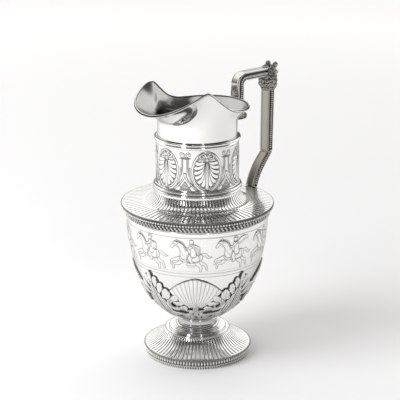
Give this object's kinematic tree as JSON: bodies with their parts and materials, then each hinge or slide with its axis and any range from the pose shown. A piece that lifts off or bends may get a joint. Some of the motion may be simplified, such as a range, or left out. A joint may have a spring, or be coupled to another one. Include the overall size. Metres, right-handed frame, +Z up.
{
  "type": "water pitcher",
  "caption": "Footed silver water pitcher: ornamented bowl, fluted shoulder, banded collar, flaring mouth with pouring lip, square-cornered handle with a mask.",
  "frame": {"origin": "on the body's axis, in the plane that the foot stands on", "axes": "+Z up along the body's axis; +X towards the handle, so the pouring lip points along -X; +Y completes a right-handed frame"},
  "size_m": [0.2115, 0.17, 0.32],
  "materials": {
    "silver_plain": "mirror-polished silver",
    "silver_chased": "polished silver with darkened chased lines",
    "silver_fluted": "polished silver with radial flutes",
    "silver_relief": "cast silver relief, bright on top and dark in its recesses",
    "silver_border": "milled silver border with dark recesses",
    "silver_handle": "polished silver with oxidised side channels",
    "silver_beads": "silver beads in a dark channel",
    "silver_oxidised": "cast silver, oxidised in the recesses"
  },
  "bodies": {
    "root": {"foot_base_ring": "silver_plain", "foot_border": "silver_border", "foot_dome": "silver_fluted", "foot_step_ring": "silver_plain", "foot_inner_ring": "silver_plain", "foot_stem": "silver_plain", "stem_bead": "silver_plain", "bowl_calyx": "silver_plain", "bowl_base": "silver_chased", "bowl_belly": "silver_chased", "bowl_frieze": "silver_chased", "scallop_shells": "silver_relief", "acanthus_leaves": "silver_relief", "acanthus_curls": "silver_relief", "shoulder_border": "silver_border", "shoulder": "silver_fluted", "neck_flare": "silver_fluted", "neck_base_ring": "silver_plain", "neck_collar": "silver_chased", "collar_top_ring": "silver_plain", "upper_neck": "silver_plain", "rim_wire": "silver_plain", "handle_upper_scroll": "silver_oxidised", "handle_arm": "silver_handle", "handle_mask": "silver_oxidised", "handle_horns": "silver_oxidised", "handle_grip": "silver_handle", "handle_grip_scroll": "silver_oxidised", "handle_leg": "silver_handle", "handle_beads_near": "silver_beads", "handle_beads_far": "silver_beads"}
  },
  "joints": []
}
